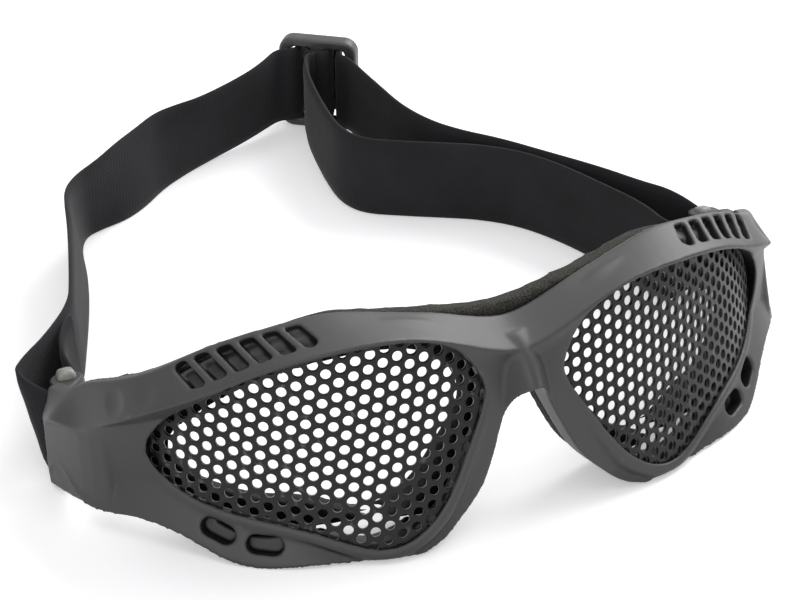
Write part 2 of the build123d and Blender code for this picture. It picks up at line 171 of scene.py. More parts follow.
def worn(x, d, h):
    """A point given as worn, x to the left lens, d back, h up the face, in the table's frame."""
    return Vector((
        x,
        d * math.cos(LEAN) + h * math.sin(LEAN) - SETBACK,
        DATUM - d * math.sin(LEAN) + h * math.cos(LEAN),
    ))


def ramp(tree, factor, stops):
    """A colour ramp fed by factor, with its stops given as place and colour."""
    made = add(tree, "ShaderNodeValToRGB", Fac=factor)
    band = made.color_ramp
    band.elements[0].position, band.elements[0].color = stops[0]
    band.elements[1].position, band.elements[1].color = stops[-1]
    for place, colour in stops[1:-1]:
        band.elements.new(place).color = colour
    return made


def applied(obj):
    """The object with its modifiers worked into its mesh and removed."""
    bpy.context.view_layer.update()
    ready = obj.evaluated_get(bpy.context.evaluated_depsgraph_get())
    mesh = bpy.data.meshes.new_from_object(ready)
    obj.modifiers.clear()
    obj.data = mesh
    return obj


def softened(obj, voxel, rounds, keep=1.0):
    """The object as one closed skin with eased edges, as a mould or a die leaves them."""
    remesh = obj.modifiers.new("voxels", "REMESH")
    remesh.mode = "VOXEL"
    remesh.voxel_size = voxel
    relax = obj.modifiers.new("relax", "SMOOTH")
    relax.factor = 0.5
    relax.iterations = rounds
    if keep < 1.0:
        thin = obj.modifiers.new("thin", "DECIMATE")
        thin.ratio = keep
    obj = applied(obj)
    obj.data.polygons.foreach_set("use_smooth", [True] * len(obj.data.polygons))
    return obj


# Matt moulded thermoplastic: a fine even grain that shines pale where it faces the light,
# rubbed a little on its edges, and painted shade that makes it nearly black in its slots
MOULD_GRAIN, MOULD_CLOUD, MOULD_EDGE, SLOT_SHADE_REACH = 0.000192308, 0.0263158, 0.0006, 0.006
frame_plastic, tree, shader = surface("frame_plastic")
place = add(tree, "ShaderNodeTexCoord").outputs["Object"]
grain = add(tree, "ShaderNodeTexNoise", Vector=place, Scale=1 / MOULD_GRAIN, Detail=3.0,
            Roughness=0.6)
cloud = add(tree, "ShaderNodeTexNoise", Vector=place, Scale=1 / MOULD_CLOUD, Detail=4.0)
edge = add(tree, "ShaderNodeNewGeometry").outputs["Pointiness"]
rubbed = add(tree, "ShaderNodeMapRange", Value=edge, From_Min=0.53, From_Max=0.62)
tone = ramp(tree, cloud.outputs["Fac"], [(0.3, linear("262627")), (0.7, linear("2b2b2c"))])
tint = add(tree, "ShaderNodeMix", {"data_type": "RGBA"}, i0=rubbed.outputs[0],
           i6=tone.outputs[0], i7=linear("38383a"))
# Painted shade: ambient occlusion within a short reach darkens the colour to near black in slots, vents
# and recesses
painted_shade_ao = add(tree, "ShaderNodeAmbientOcclusion", {"samples": 8}, Distance=SLOT_SHADE_REACH)
depth = add(tree, "ShaderNodeMapRange", Value=painted_shade_ao.outputs["AO"], From_Min=0.62, From_Max=0.92,
            To_Min=0.03, To_Max=1.0)
painted_shade_tint = add(tree, "ShaderNodeMix", {"data_type": "RGBA"}, i0=depth.outputs[0],
             i6=linear("050505"), i7=tint.outputs[2])
tree.links.new(painted_shade_tint.outputs[2], shader.inputs["Base Color"])
rough = add(tree, "ShaderNodeMapRange", Value=grain.outputs["Fac"], To_Min=0.42, To_Max=0.56)
tree.links.new(rough.outputs[0], shader.inputs["Roughness"])
shader.inputs["Specular IOR Level"].default_value = 0.6
bevel = add(tree, "ShaderNodeBevel", {"samples": 6}, Radius=MOULD_EDGE)
bump = add(tree, "ShaderNodeBump", Strength=0.16, Distance=0.00006,
           Height=grain.outputs["Fac"], Normal=bevel.outputs[0])
tree.links.new(bump.outputs[0], shader.inputs["Normal"])

# Both eyes share one outline, given in shares of the frame's half width and height, and both
# lenses are bent alike, round an axis that leans a little
HALF_WIDTH, HEIGHT = 0.0835, 0.049
SHEET_RADIUS, SHEET_X, SHEET_D, SHEET_H = 0.073, 0.0125, 0.0741, -0.022
SHEET_LEAN = math.radians(4.5)
EYE_SHARES = [
    (0.106, -0.294), (0.194, -0.098), (0.381, -0.031), (0.575, -0.061), (0.729, -0.18),
    (0.823, -0.392), (0.74, -0.606), (0.539, -0.753), (0.381, -0.869), (0.259, -0.78),
    (0.151, -0.511),
]
EYE_STEPS = 16


def smooth_loop(points, steps):
    """A closed smooth line through the points."""
    made = []
    count = len(points)
    for index in range(count):
        a, b, c, d = (Vector(points[(index + k) % count]) for k in (-1, 0, 1, 2))
        for step in range(steps):
            t = step / steps
            made.append(0.5 * (2 * b + (c - a) * t + (2 * a - 5 * b + 4 * c - d) * t * t
                               + (3 * b - a - 3 * c + d) * t ** 3))
    return made


def grown(loop, amount):
    """A closed line moved outwards by the given amount."""
    moved = []
    for index, here in enumerate(loop):
        along = (loop[(index + 1) % len(loop)] - loop[index - 1]).normalized()
        moved.append(here + Vector((-along.y, along.x)) * amount)
    return moved


def on_sheet(bend, rise, depth=0.0, side=1):
    """A point of a lens from its bend angle, height and depth behind its face."""
    reach = (SHEET_RADIUS - depth) * math.cos(bend)
    return worn(
        side * (SHEET_X + (SHEET_RADIUS - depth) * math.sin(bend)),
        SHEET_D - reach * math.cos(SHEET_LEAN) + rise * math.sin(SHEET_LEAN),
        SHEET_H + reach * math.sin(SHEET_LEAN) + rise * math.cos(SHEET_LEAN),
    )


def flattened(loop):
    """The loop as bend angles and heights on the sheet."""
    made = []
    for spot in loop:
        bend = math.asin((spot.x - SHEET_X) / SHEET_RADIUS)
        rise = spot.y - SHEET_H - SHEET_RADIUS * math.cos(bend) * math.sin(SHEET_LEAN)
        made.append(Vector((bend, rise / math.cos(SHEET_LEAN))))
    return made


eye_loop = smooth_loop([(x * HALF_WIDTH, z * HEIGHT) for x, z in EYE_SHARES], EYE_STEPS)

# The moulding is the CAD shell with a rim round each eye and with its wings' cheeks filled out
# to the bottom corner. A rim's section goes outwards from the eye and back from the lens and
# stays clear of the table. A cheek is a closed panel along its ends (back, out) and down its
# levels (height, flare)
EYE_RIM = [(0.0, -0.0001), (0.0, -0.0008), (0.0010, -0.0011), (0.0022, -0.0007), (0.0034, 0.0012),
           (0.0034, 0.0040), (0.0016, 0.0040), (0.0016, -0.0001)]
CHEEK_ENDS = [(0.030, 0.0756), (0.033, 0.0776), (0.036, 0.0790), (0.040, 0.0801),
              (0.045, 0.0812), (0.0505, 0.0822)]
CHEEK_LEVELS = [(-0.0150, -0.0016), (-0.0175, -0.0004), (-0.024, 0.0), (-0.029, 0.0004),
                (-0.0320, 0.0004)]
CHEEK_WALL = 0.0024
TABLE_GAP = 0.0004
shell = bpy.data.objects.new("front_frame_shell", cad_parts["front_frame"].data.copy())
bpy.context.scene.collection.objects.link(shell)
maker = bmesh.new()
maker.from_mesh(shell.data)
bmesh.ops.remove_doubles(maker, verts=maker.verts, dist=0.000001)
for side in (-1, 1):
    rings = []
    for out, depth in EYE_RIM:
        ring = [on_sheet(spot.x, spot.y, depth, side) for spot in flattened(grown(eye_loop, out))]
        rings.append([maker.verts.new((x, y, max(z, TABLE_GAP))) for x, y, z in ring])
    made = []
    for here, there in zip(rings, rings[1:] + rings[:1]):
        for k in range(len(here)):
            n = (k + 1) % len(here)
            made.append(maker.faces.new((here[k], here[n], there[n], there[k])))
    bmesh.ops.recalc_face_normals(maker, faces=made)
for side in (-1, 1):
    rows = []
    for wall in (0.0, CHEEK_WALL):
        for d, out in CHEEK_ENDS:
            rows.append([maker.verts.new(worn(side * (out + flare - wall), d, h))
                         for h, flare in CHEEK_LEVELS])
    count, levels = len(CHEEK_ENDS), len(CHEEK_LEVELS)
    made = []
    for index in range(count - 1):
        for level in range(levels - 1):
            for base in (0, count):
                a, b = rows[base + index], rows[base + index + 1]
                made.append(maker.faces.new((a[level], b[level], b[level + 1], a[level + 1])))
        for level in (0, levels - 1):
            made.append(maker.faces.new((rows[index][level], rows[index + 1][level],
                                         rows[count + index + 1][level],
                                         rows[count + index][level])))
    for index in (0, count - 1):
        for level in range(levels - 1):
            made.append(maker.faces.new((rows[index][level], rows[index][level + 1],
                                         rows[count + index][level + 1],
                                         rows[count + index][level])))
    bmesh.ops.recalc_face_normals(maker, faces=made)
maker.to_mesh(shell.data)
maker.free()
shell.data.materials.clear()
shell.data.materials.append(frame_plastic)
# The voxels lie askew to the frame, so that none of its edges runs along them
askew = Matrix.Rotation(0.61, 4, "X") @ Matrix.Rotation(0.47, 4, "Y") @ Matrix.Rotation(0.53, 4, "Z")
shell.data.transform(askew)
shell = softened(shell, voxel=0.0003, rounds=14, keep=0.4)
shell.data.transform(askew.inverted())
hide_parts("front_frame")
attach(shell, "goggles")

# Mesh lenses: two blanks cut from one perforated steel sheet, with round punched holes in
# staggered rows, then bent, coated black and snapped in behind the rims
SHEET_THICK, SHEET_MARGIN, HOLE = 0.0008, 0.0010, 0.002
COAT_PATCH = 0.00111111
# Baked coating on steel: satin black that pales at a low angle, with painted glints on the punched
# edges, where the coat is also thin
steel, tree, shader = surface("lens_steel")
place = add(tree, "ShaderNodeTexCoord").outputs["Object"]
coat = add(tree, "ShaderNodeTexNoise", Vector=place, Scale=1 / COAT_PATCH, Detail=4.0)
edge = add(tree, "ShaderNodeNewGeometry").outputs["Pointiness"]
# Painted highlight: a paler colour on sharp punched edges stands in for their glints
painted_edge_glint = add(tree, "ShaderNodeMapRange", Value=edge, From_Min=0.55, From_Max=0.7)
tint = add(tree, "ShaderNodeMix", {"data_type": "RGBA"}, i0=painted_edge_glint.outputs[0],
           i6=linear("0f0f0f"), i7=linear("4c4a48"))
tree.links.new(tint.outputs[2], shader.inputs["Base Color"])
rough = add(tree, "ShaderNodeMapRange", Value=coat.outputs["Fac"], To_Min=0.3, To_Max=0.5)
tree.links.new(rough.outputs[0], shader.inputs["Roughness"])
shader.inputs["Specular IOR Level"].default_value = 0.3
shader.inputs["Sheen Weight"].default_value = 0.35
shader.inputs["Sheen Roughness"].default_value = 0.3
bump = add(tree, "ShaderNodeBump", Strength=0.2, Distance=0.00008, Height=coat.outputs["Fac"])
tree.links.new(bump.outputs[0], shader.inputs["Normal"])

# The punch leaves each hole a little wider at the front face
PUNCH_RINGS = [(-0.0016, HOLE / 2), (-0.00014, HOLE / 2), (0.0, HOLE / 2 + 0.00011),
               (0.0009, HOLE / 2 + 0.0006)]
PUNCH_CORNERS, PUNCH_DEPTH = 20, 0.001
vertices = [(r * math.cos(2 * math.pi * k / PUNCH_CORNERS),
             r * math.sin(2 * math.pi * k / PUNCH_CORNERS), z)
            for z, r in PUNCH_RINGS for k in range(PUNCH_CORNERS)]
last = PUNCH_CORNERS * (len(PUNCH_RINGS) - 1)
faces = [tuple(range(PUNCH_CORNERS - 1, -1, -1)), tuple(range(last, last + PUNCH_CORNERS))]
for ring in range(len(PUNCH_RINGS) - 1):
    for k in range(PUNCH_CORNERS):
        a, b = ring * PUNCH_CORNERS + k, ring * PUNCH_CORNERS + (k + 1) % PUNCH_CORNERS
        faces.append((a, b, b + PUNCH_CORNERS, a + PUNCH_CORNERS))
punch = mesh_object("hole_punch", vertices, faces)

tree = bpy.data.node_groups.new("perforate", "GeometryNodeTree")
for name, kind in (("Blank", "NodeSocketGeometry"), ("Hole Points", "NodeSocketObject"),
                   ("Punch", "NodeSocketObject"), ("Coating", "NodeSocketMaterial")):
    tree.interface.new_socket(name, in_out="INPUT", socket_type=kind)
tree.interface.new_socket("Sheet", in_out="OUTPUT", socket_type="NodeSocketGeometry")
given = add(tree, "NodeGroupInput").outputs
points = add(tree, "GeometryNodeObjectInfo", Object=given["Hole Points"])
tool = add(tree, "GeometryNodeObjectInfo", Object=given["Punch"])
facing = add(tree, "GeometryNodeInputNamedAttribute", {"data_type": "FLOAT_VECTOR"}, Name="facing")
aligned = add(tree, "FunctionNodeAlignRotationToVector", {"axis": "Z"},
              Vector=facing.outputs["Attribute"])
punches = add(tree, "GeometryNodeInstanceOnPoints", Points=points.outputs["Geometry"],
              Instance=tool.outputs["Geometry"], Rotation=aligned.outputs[0])
solid_punches = add(tree, "GeometryNodeRealizeInstances", Geometry=punches.outputs[0])
cut = add(tree, "GeometryNodeMeshBoolean", {"operation": "DIFFERENCE", "solver": "MANIFOLD"},
          i0=given["Blank"], i1=solid_punches.outputs[0])
coated = add(tree, "GeometryNodeSetMaterial", Geometry=cut.outputs[0], Material=given["Coating"])
add(tree, "NodeGroupOutput", i0=coated.outputs[0])
sockets = {item.name: item.identifier for item in tree.interface.items_tree
           if item.in_out == "INPUT"}


def inside(spot, loop):
    """True where the spot lies in the closed line."""
    odd = False
    for a, b in zip(loop, loop[1:] + loop[:1]):
        if (a.y > spot.y) != (b.y > spot.y):
            if spot.x < (b.x - a.x) * (spot.y - a.y) / (b.y - a.y) + a.x:
                odd = not odd
    return odd


# Each blank is ruled in strips along the axis that it is bent round, narrower near its ends,
# and gets one vertex where each hole goes, with the way that it faces. Its holes go on from a
# first one by a step down and a step across, in mm on the flat blank, and the rows run askew,
# as the two blanks were cut from the sheet at different turns
STRIPS, HOLE_RANGE = 64, 60
blank_loop = flattened(grown(eye_loop, SHEET_MARGIN))
low_bend = min(spot.x for spot in blank_loop)
high_bend = max(spot.x for spot in blank_loop)
for name, node, side, down, across, first in (
    ("left_lens_sheet", "left_mesh_lens", 1, (-0.27, -2.885), (2.362, -1.679), (4.81, 2.44)),
    ("right_lens_sheet", "right_mesh_lens", -1, (0.768, -2.77), (-2.137, -2.04), (14.174, 2.229)),
):
    vertices, faces = [], []
    for index in range(STRIPS + 1):
        share = 0.5 - 0.5 * math.cos(math.pi * (0.01 + 0.98 * index / STRIPS))
        bend = low_bend + (high_bend - low_bend) * share
        ends = []
        for a, b in zip(blank_loop, blank_loop[1:] + blank_loop[:1]):
            if (a.x > bend) != (b.x > bend):
                ends.append(a.y + (b.y - a.y) * (bend - a.x) / (b.x - a.x))
        for rise in (min(ends), max(ends)):
            for depth in (0.0, SHEET_THICK):
                vertices.append(on_sheet(bend, rise, depth, side))
    for index in range(STRIPS):
        a = 4 * index
        b = a + 4
        faces += [(a, b, b + 2, a + 2), (a + 1, a + 3, b + 3, b + 1),
                  (a, a + 1, b + 1, b), (a + 2, b + 2, b + 3, a + 3)]
    faces += [(0, 2, 3, 1), (4 * STRIPS, 4 * STRIPS + 1, 4 * STRIPS + 3, 4 * STRIPS + 2)]
    if side < 0:
        faces = [face[::-1] for face in faces]
    lens = mesh_object(name, vertices, faces, steel, smooth=False)

    spots, ways = [], []
    for row in range(-HOLE_RANGE, HOLE_RANGE + 1):
        for column in range(-HOLE_RANGE, HOLE_RANGE + 1):
            bend = (first[0] + row * down[0] + column * across[0]) / 1000 / SHEET_RADIUS
            rise = (first[1] + row * down[1] + column * across[1]) / 1000
            if inside(Vector((bend, rise)), blank_loop):
                here = on_sheet(bend, rise, 0, side)
                spots.append(here)
                ways.append((here - on_sheet(bend, rise, PUNCH_DEPTH, side)).normalized())
    hole_points = mesh_object(name + "_holes", spots, [])
    facing = hole_points.data.attributes.new("facing", "FLOAT_VECTOR", "POINT")
    facing.data.foreach_set("vector", [value for way in ways for value in way])
    modifier = lens.modifiers.new("holes", "NODES")
    modifier.node_group = tree
    modifier[sockets["Hole Points"]] = hole_points
    modifier[sockets["Punch"]] = punch
    modifier[sockets["Coating"]] = steel
    lens = applied(lens)
    bpy.data.objects.remove(hole_points)
    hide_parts(node)
    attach(lens, "goggles")
bpy.data.objects.remove(punch)

# Foam liner: a band die-cut from sheet foam and glued behind the frame. Its lips come up under
# each eye and reach forward to the foot of the lens, a little further than in the plain solid
FOAM_CELL, FOAM_SPECK, FOAM_SHADE_REACH = 0.000277778, 0.000294118, 0.006
LIP_X, LIP_SPREAD, LIP_TOP, LIP_FOOT = 0.030, 0.011, -0.028, -0.046
LIP_RISE, LIP_FADE = 0.0070, 0.012
TOE_TOP, TOE_SPREAD, TOE_REACH, TOE_GAP = -0.034, 0.012, 0.0075, 0.0016
# Closed-cell foam: grey-black and dull, with a speckle of open cells on its cut faces that is
# drawn coarse enough to show, and painted shade that darkens it where other surfaces close in
foam_black, tree, shader = surface("liner_foam")
place = add(tree, "ShaderNodeTexCoord").outputs["Object"]
cells = add(tree, "ShaderNodeTexVoronoi", Vector=place, Scale=1 / FOAM_CELL)
speck = add(tree, "ShaderNodeTexNoise", Vector=place, Scale=1 / FOAM_SPECK, Detail=4.0,
            Roughness=0.6)
tone = ramp(tree, speck.outputs["Fac"], [
    (0.38, linear("232322")), (0.5, linear("33322f")), (0.62, linear("4c4a45")),
])
# Painted shade: ambient occlusion darkens the foam's colour towards black in its hollows and near the
# frame
painted_shade_ao = add(tree, "ShaderNodeAmbientOcclusion", {"samples": 8}, Distance=FOAM_SHADE_REACH)
depth = add(tree, "ShaderNodeMapRange", Value=painted_shade_ao.outputs["AO"], From_Min=0.4, From_Max=0.8)
painted_shade_tint = add(tree, "ShaderNodeMix", {"data_type": "RGBA"}, i0=depth.outputs[0],
             i6=linear("060606"), i7=tone.outputs[0])
tree.links.new(painted_shade_tint.outputs[2], shader.inputs["Base Color"])
shader.inputs["Roughness"].default_value = 0.92
shader.inputs["Specular IOR Level"].default_value = 0.2
bump = add(tree, "ShaderNodeBump", Strength=0.5, Distance=0.00015, Height=cells.outputs["Distance"])
tree.links.new(bump.outputs[0], shader.inputs["Normal"])

worn_up = worn(0, 0, 1) - worn(0, 0, 0)
foam = bpy.data.objects.new("foam_liner_band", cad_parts["foam_liner"].data.copy())
bpy.context.scene.collection.objects.link(foam)
foam.data.materials.clear()
foam.data.materials.append(foam_black)
for vertex in foam.data.vertices:
    x, y, z = vertex.co
    h = (y + SETBACK) * math.sin(LEAN) + (z - DATUM) * math.cos(LEAN)
    d = (y + SETBACK) * math.cos(LEAN) - (z - DATUM) * math.sin(LEAN)
    round_lens = max(SHEET_RADIUS ** 2 - (abs(x) - SHEET_X) ** 2, 0.0)
    toe = SHEET_D - math.sqrt(round_lens) + TOE_GAP
    if h < TOE_TOP and toe < d < toe + TOE_REACH:
        near = math.exp(-((abs(x) - LIP_X) / TOE_SPREAD) ** 2)
        vertex.co += (worn(0, toe, 0) - worn(0, d, 0)) * near
    if h < LIP_TOP:
        near = math.exp(-((abs(x) - LIP_X) / LIP_SPREAD) ** 2)
        vertex.co += worn_up * LIP_RISE * near * min(max((h - LIP_FOOT) / LIP_FADE, 0.0), 1.0)
foam = softened(foam, voxel=0.0008, rounds=6)
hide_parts("foam_liner")
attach(foam, "goggles")

# Strap pins: headed nylon pins, moulded singly and pressed down through both lugs of a wing.
# The rings go up a pin, as height and half width in mm, and the left one's head sits lower
PIN_X, PIN_D, PIN_H = 0.075, 0.0532, -0.021
PIN_RINGS = [(-9.3, 0.9), (-9.0, 1.35), (-8.6, 1.5), (-7.9, 1.5), (-7.7, 1.3), (7.4, 1.3),
             (7.7, 1.3), (8.0, 1.8), (8.7, 1.95), (9.8, 1.8), (10.5, 1.45), (10.8, 0.7)]
PIN_CORNERS, PIN_TURN, SHANK_HALF, SHANK_TOP = 28, 0.4, 1.3, 7.7
HEAD_SQUARENESS, HEAD_FOOT, LEFT_HEAD_DROP = 0.55, 8.0, 0.9
NYLON_HAZE, PIN_EDGE = 0.00238095, 0.0003
# Natural nylon: milky grey, half clear, with a soft shine
nylon, tree, shader = surface("pin_nylon")
place = add(tree, "ShaderNodeTexCoord").outputs["Object"]
haze = add(tree, "ShaderNodeTexNoise", Vector=place, Scale=1 / NYLON_HAZE, Detail=3.0)
tone = ramp(tree, haze.outputs["Fac"], [(0.3, linear("5c5c5a")), (0.7, linear("8c8c88"))])
tree.links.new(tone.outputs[0], shader.inputs["Base Color"])
shader.inputs["Roughness"].default_value = 0.38
shader.inputs["Subsurface Weight"].default_value = 0.25
shader.inputs["Subsurface Radius"].default_value = (0.001, 0.001, 0.001)
bevel = add(tree, "ShaderNodeBevel", {"samples": 4}, Radius=PIN_EDGE)
bump = add(tree, "ShaderNodeBump", Strength=0.15, Distance=0.0001, Height=haze.outputs["Fac"],
           Normal=bevel.outputs[0])
tree.links.new(bump.outputs[0], shader.inputs["Normal"])

pin_across = Vector((1, 0, 0))
pin_back = worn_up.cross(pin_across).normalized()
for side, name, node in ((1, "left_pin_moulding", "left_strap_pin"),
                         (-1, "right_pin_moulding", "right_strap_pin")):
    middle = worn(side * PIN_X, PIN_D, PIN_H)
    vertices, faces = [], []
    for height, half in PIN_RINGS:
        squareness = HEAD_SQUARENESS if half > SHANK_HALF or height > SHANK_TOP else 1.0
        if side > 0 and height > HEAD_FOOT:
            height -= LEFT_HEAD_DROP
        for k in range(PIN_CORNERS):
            angle = 2 * math.pi * k / PIN_CORNERS + PIN_TURN
            a = math.copysign(abs(math.cos(angle)) ** squareness, math.cos(angle)) * half
            b = math.copysign(abs(math.sin(angle)) ** squareness, math.sin(angle)) * half
            vertices.append(middle + (pin_across * a + pin_back * b + worn_up * height) / 1000)
    last = PIN_CORNERS * (len(PIN_RINGS) - 1)
    for ring in range(len(PIN_RINGS) - 1):
        for k in range(PIN_CORNERS):
            a, b = ring * PIN_CORNERS + k, ring * PIN_CORNERS + (k + 1) % PIN_CORNERS
            faces.append((a, b, b + PIN_CORNERS, a + PIN_CORNERS))
    faces += [tuple(range(PIN_CORNERS - 1, -1, -1)), tuple(range(last, last + PIN_CORNERS))]
    pin = mesh_object(name, vertices, faces, nylon)
    maker = bmesh.new()
    maker.from_mesh(pin.data)
    bmesh.ops.recalc_face_normals(maker, faces=maker.faces)
    maker.to_mesh(pin.data)
    maker.free()
    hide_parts(node)
    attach(pin, "goggles")

# Slider: a plastic buckle, moulded with two slots and a bar between them, that rides upright
# on the strap. Its ring and slots are given as middle, half width, half height and corner, in mm
LOOP_DEPTH = 0.162
SLIDER_SPOT = Vector((0.331 * HALF_WIDTH, 0.967 * LOOP_DEPTH - SETBACK, 0))
SLIDER_TURN, SLIDER_RISE = math.radians(-37.6), 0.0127
SLIDER_LOOPS = [(0.0, 10.25, 12.7, 3.6), (-4.475, 2.775, 10.3, 1.5), (4.475, 2.775, 10.3, 1.5)]
SLIDER_HALF_THICK, SLIDER_EDGE, CORNER_STEPS = 0.0021, 0.0008, 8
SLIDER_DUST, SLIDER_GRAIN, SLIDER_EASE = 0.00384615, 0.000238095, 0.0006
# Smooth moulded thermoplastic: even dark grey with a low shine, dulled by dust on flat faces
slider_plastic, tree, shader = surface("slider_plastic")
place = add(tree, "ShaderNodeTexCoord").outputs["Object"]
dust = add(tree, "ShaderNodeTexNoise", Vector=place, Scale=1 / SLIDER_DUST, Detail=5.0)
grain = add(tree, "ShaderNodeTexNoise", Vector=place, Scale=1 / SLIDER_GRAIN, Detail=2.0)
tone = ramp(tree, dust.outputs["Fac"], [(0.35, linear("303131")), (0.7, linear("40413f"))])
tree.links.new(tone.outputs[0], shader.inputs["Base Color"])
rough = add(tree, "ShaderNodeMapRange", Value=dust.outputs["Fac"], To_Min=0.34, To_Max=0.5)
tree.links.new(rough.outputs[0], shader.inputs["Roughness"])
bevel = add(tree, "ShaderNodeBevel", {"samples": 6}, Radius=SLIDER_EASE)
bump = add(tree, "ShaderNodeBump", Strength=0.12, Distance=0.00006, Height=grain.outputs["Fac"],
           Normal=bevel.outputs[0])
tree.links.new(bump.outputs[0], shader.inputs["Normal"])

slider_along = Vector((math.cos(SLIDER_TURN), math.sin(SLIDER_TURN), 0))
slider_out = Vector((math.sin(SLIDER_TURN), -math.cos(SLIDER_TURN), 0))
outline = bpy.data.curves.new("slider_outline", "CURVE")
outline.dimensions = "2D"
outline.fill_mode = "BOTH"
outline.extrude = SLIDER_HALF_THICK - SLIDER_EDGE
outline.bevel_depth = SLIDER_EDGE
outline.bevel_resolution = 4
outline.offset = -SLIDER_EDGE
for middle, half_wide, half_high, corner in SLIDER_LOOPS:
    line = outline.splines.new("POLY")
    spots = []
    for turn_x, turn_y, start in ((1, 1, 0), (-1, 1, 90), (-1, -1, 180), (1, -1, 270)):
        for step in range(CORNER_STEPS + 1):
            angle = math.radians(start + 90 * step / CORNER_STEPS)
            spots.append((middle + turn_x * (half_wide - corner) + corner * math.cos(angle),
                          turn_y * (half_high - corner) + corner * math.sin(angle)))
    if middle:
        spots.reverse()
    line.points.add(len(spots) - 1)
    for knot, (x, y) in zip(line.points, spots):
        knot.co = (x / 1000, y / 1000, 0, 1)
    line.use_cyclic_u = True
holder = bpy.data.objects.new("slider_outline", outline)
bpy.context.scene.collection.objects.link(holder)
bpy.context.view_layer.update()
plate = bpy.data.meshes.new_from_object(
    holder.evaluated_get(bpy.context.evaluated_depsgraph_get()))
bpy.data.objects.remove(holder)
plate.transform(Matrix((
    (slider_along.x, 0, slider_out.x, SLIDER_SPOT.x),
    (slider_along.y, 0, slider_out.y, SLIDER_SPOT.y),
    (0, 1, 0, SLIDER_RISE),
    (0, 0, 0, 1),
)))
plate.materials.clear()
plate.materials.append(slider_plastic)
maker = bmesh.new()
maker.from_mesh(plate)
bmesh.ops.remove_doubles(maker, verts=maker.verts, dist=0.000002)
bmesh.ops.recalc_face_normals(maker, faces=maker.faces)
maker.to_mesh(plate)
maker.free()
slider = bpy.data.objects.new("strap_slider_moulding", plate)
bpy.context.scene.collection.objects.link(slider)
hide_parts("strap_slider")
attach(slider, "slider")

# Elastic strap: flat woven webbing with cross ribs and firm edges. It runs from the right pin
# round the back to the slider, through it, and in two layers to the left pin; each end narrows
# to a sewn eye between the lugs
STRAP_WIDE, STRAP_THICK, STRAP_STEP = 0.0205, 0.0013, 0.0011
RIB_SPACING, CORD_SPACING, FUZZ_WIDTH, WEAR_PATCH = 0.001013417, 0.001309, 0.000555556, 0.0166667
PIN_MIDDLE_Y, PIN_MIDDLE_Z, PIN_SLANT, CURVE_STEPS = -30.65, 10.35, 0.268, 30
SELVEDGE, SWELL, SWELLS, ROUNDING, BULGE = 0.55, 0.06, 3, 0.7, 0.12
# Woven elastic: dull black with a fine rib across, a little lint and a faint sheen
webbing, tree, shader = surface("strap_elastic")
flat = add(tree, "ShaderNodeUVMap", {"uv_map": "weave"}).outputs[0]
ribs = add(tree, "ShaderNodeTexWave", {"bands_direction": "X"}, Vector=flat,
           Scale=math.pi / 10 / RIB_SPACING, Distortion=0.5, Detail=2.0, Detail_Scale=3.0)
cords = add(tree, "ShaderNodeTexWave", {"bands_direction": "Y"}, Vector=flat,
            Scale=math.pi / 10 / CORD_SPACING, Distortion=0.3, Detail=1.0)
fuzz = add(tree, "ShaderNodeTexNoise", Vector=flat, Scale=1 / FUZZ_WIDTH, Detail=4.0,
           Roughness=0.7)
wear = add(tree, "ShaderNodeTexNoise", Vector=flat, Scale=1 / WEAR_PATCH, Detail=4.0)
weave = add(tree, "ShaderNodeMath", {"operation": "MULTIPLY"}, i0=ribs.outputs["Fac"],
            i1=cords.outputs["Fac"])
raised = add(tree, "ShaderNodeMath", {"operation": "MULTIPLY_ADD"}, i0=fuzz.outputs["Fac"],
             i1=0.5, i2=weave.outputs[0])
tone = ramp(tree, wear.outputs["Fac"], [(0.3, linear("1f1e20")), (0.72, linear("28272a"))])
lint = add(tree, "ShaderNodeMapRange", Value=fuzz.outputs["Fac"], From_Min=0.6, From_Max=0.8)
tint = add(tree, "ShaderNodeMix", {"data_type": "RGBA"}, i0=lint.outputs[0],
           i6=tone.outputs[0], i7=linear("343235"))
tree.links.new(tint.outputs[2], shader.inputs["Base Color"])
shader.inputs["Roughness"].default_value = 0.88
shader.inputs["Specular IOR Level"].default_value = 0.2
shader.inputs["Sheen Weight"].default_value = 0.08
shader.inputs["Sheen Roughness"].default_value = 0.4
bump = add(tree, "ShaderNodeBump", Strength=0.3, Distance=0.00012, Height=raised.outputs[0])
tree.links.new(bump.outputs[0], shader.inputs["Normal"])


def held(x, y, lift=0.2, lean_x=0.0, lean_y=0.0):
    """A place of the strap in mm: its lower edge, and its upper edge with its lean."""
    rise = math.sqrt((STRAP_WIDE * 1000) ** 2 - lean_x ** 2 - lean_y ** 2)
    return Vector((x, y, lift, x + lean_x, y + lean_y, lift + rise)) / 1000


def at_pin(side, x, y, low=4.9, high=16.6):
    """A place of the strap's narrowed eye in mm, from the axis of a pin, which leans back."""
    edges = []
    for height in (low, high):
        back = (height - PIN_MIDDLE_Z) * PIN_SLANT + PIN_MIDDLE_Y
        edges += [side * PIN_X * 1000 + x, back + y, height]
    return Vector(edges) / 1000


def on_slider(along, out, lift=2.45):
    """A place of the strap in the slider, from the slider's middle in mm."""
    spot = SLIDER_SPOT * 1000 + slider_along * along + slider_out * out
    return held(spot.x, spot.y, lift)


